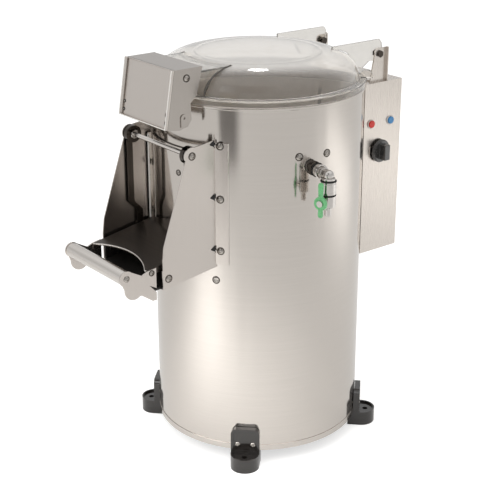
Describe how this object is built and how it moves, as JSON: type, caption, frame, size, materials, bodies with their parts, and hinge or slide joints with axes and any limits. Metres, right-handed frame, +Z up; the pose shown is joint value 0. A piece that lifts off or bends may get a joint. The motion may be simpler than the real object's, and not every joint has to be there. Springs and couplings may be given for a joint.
{
  "type": "electric potato peeler",
  "caption": "Upright drum potato peeler with a hinged clear domed lid, lift-up discharge flap between side guards, rear control box and belt-driven abrasive disc.",
  "frame": {"origin": "on the drum's axis at floor level, the centre of the circle of the four floor bolts", "axes": "+Z up along the drum's axis, -Y towards the discharge flap and its handle, +X towards the side with the control panel"},
  "size_m": [0.5359, 0.7008, 0.809],
  "materials": {
    "stainless": "brushed, nearly mirror",
    "plain_steel": "satin",
    "dark_steel": "dark satin",
    "chrome": "polished",
    "abrasive": "coarse grit",
    "cast_housing": "as cast",
    "motor_paint": "satin paint",
    "foot_paint": "gloss",
    "rubber": "matte",
    "black_plastic": "satin",
    "black_gloss_plastic": "gloss",
    "grey_plastic": "matte",
    "pale_plastic": "gloss",
    "clear_plastic": "clear",
    "red_plastic": "gloss",
    "blue_plastic": "gloss",
    "green_paint": "gloss"
  },
  "bodies": {
    "housing": {"drum_shell": "stainless", "drum_rim": "stainless", "base_ring": "stainless", "abrasive_liner": "abrasive", "chamber_floor": "stainless", "bearing_housing": "cast_housing", "shaft_bearings": "plain_steel", "drain_pipe": "black_plastic", "motor_body": "motor_paint", "motor_plate": "plain_steel", "drive_belt": "rubber", "foot_front_right": "foot_paint", "foot_front_left": "foot_paint", "foot_rear_right": "foot_paint", "foot_rear_left": "foot_paint", "foot_screws": "plain_steel", "guard_left": "stainless", "guard_right": "stainless", "guard_screws": "plain_steel", "pivot_rod": "plain_steel", "chute_apron": "black_plastic", "drum_screws": "plain_steel", "hinge_ear_left": "stainless", "hinge_ear_right": "stainless", "hinge_bolts": "dark_steel", "control_box": "stainless", "control_box_back": "stainless", "box_screws": "plain_steel", "box_spacers": "black_plastic", "knob_plate": "stainless", "button_bezels": "pale_plastic", "switch_gear": "grey_plastic", "cable_gland": "black_plastic", "inlet_backnut": "dark_steel", "inlet_elbow": "chrome", "valve_body": "chrome", "hose_tail": "chrome"},
    "lid": {"lid_dome": "clear_plastic", "lid_porch": "clear_plastic", "lid_arm_left": "clear_plastic", "lid_arm_right": "clear_plastic", "hood": "stainless", "hood_face": "stainless", "hood_fittings": "plain_steel"},
    "flap": {"flap_bar_left": "dark_steel", "flap_bar_right": "dark_steel", "flap_tray": "stainless", "door_plate": "stainless", "door_gasket": "rubber", "flap_screws": "plain_steel", "handle_arms": "stainless", "handle_tube": "stainless"},
    "disc": {"main_shaft": "plain_steel", "peeling_disc": "abrasive", "driven_pulley": "cast_housing"},
    "motor_shaft": {"motor_pulley": "plain_steel"},
    "timer_knob": {"knob": "black_gloss_plastic"},
    "start": {"start_button": "blue_plastic"},
    "stop": {"stop_button": "red_plastic"},
    "water_handle": {"valve_handle": "green_paint"}
  },
  "joints": [
    {"name": "lid_hinge", "type": "hinge", "parent": "housing", "child": "lid", "pos_m": [0, 0.242, 0.776], "axis": [-1, 0, 0], "range_deg": [0, 90]},
    {"name": "flap_hinge", "type": "hinge", "parent": "housing", "child": "flap", "pos_m": [0, -0.237, 0.653], "axis": [-1, 0, 0], "range_deg": [0, 70]},
    {"name": "disc_spin", "type": "hinge", "parent": "housing", "child": "disc", "pos_m": [0, 0, 0.45], "axis": [0, 0, 1], "continuous": true},
    {"name": "motor_spin", "type": "hinge", "parent": "housing", "child": "motor_shaft", "pos_m": [-0.125, 0, 0.275], "axis": [0, 0, 1], "continuous": true},
    {"name": "timer_turn", "type": "hinge", "parent": "housing", "child": "timer_knob", "pos_m": [0.1045, 0.241, 0.576], "axis": [-1, 0, 0], "range_deg": [0, 300]},
    {"name": "start_press", "type": "slide", "parent": "housing", "child": "start", "axis": [-1, 0, 0], "range_m": [0, 0.003], "stiffness_N_per_m": 400},
    {"name": "stop_press", "type": "slide", "parent": "housing", "child": "stop", "axis": [-1, 0, 0], "range_m": [0, 0.003], "stiffness_N_per_m": 400},
    {"name": "valve_turn", "type": "hinge", "parent": "housing", "child": "water_handle", "pos_m": [0.25877, -0.04099, 0.57], "axis": [0.3256, -0.9455, 0], "range_deg": [0, 90]}
  ],
  "couplings": [
    {"joint": "motor_spin", "follows": "disc_spin", "ratio": 3}
  ]
}
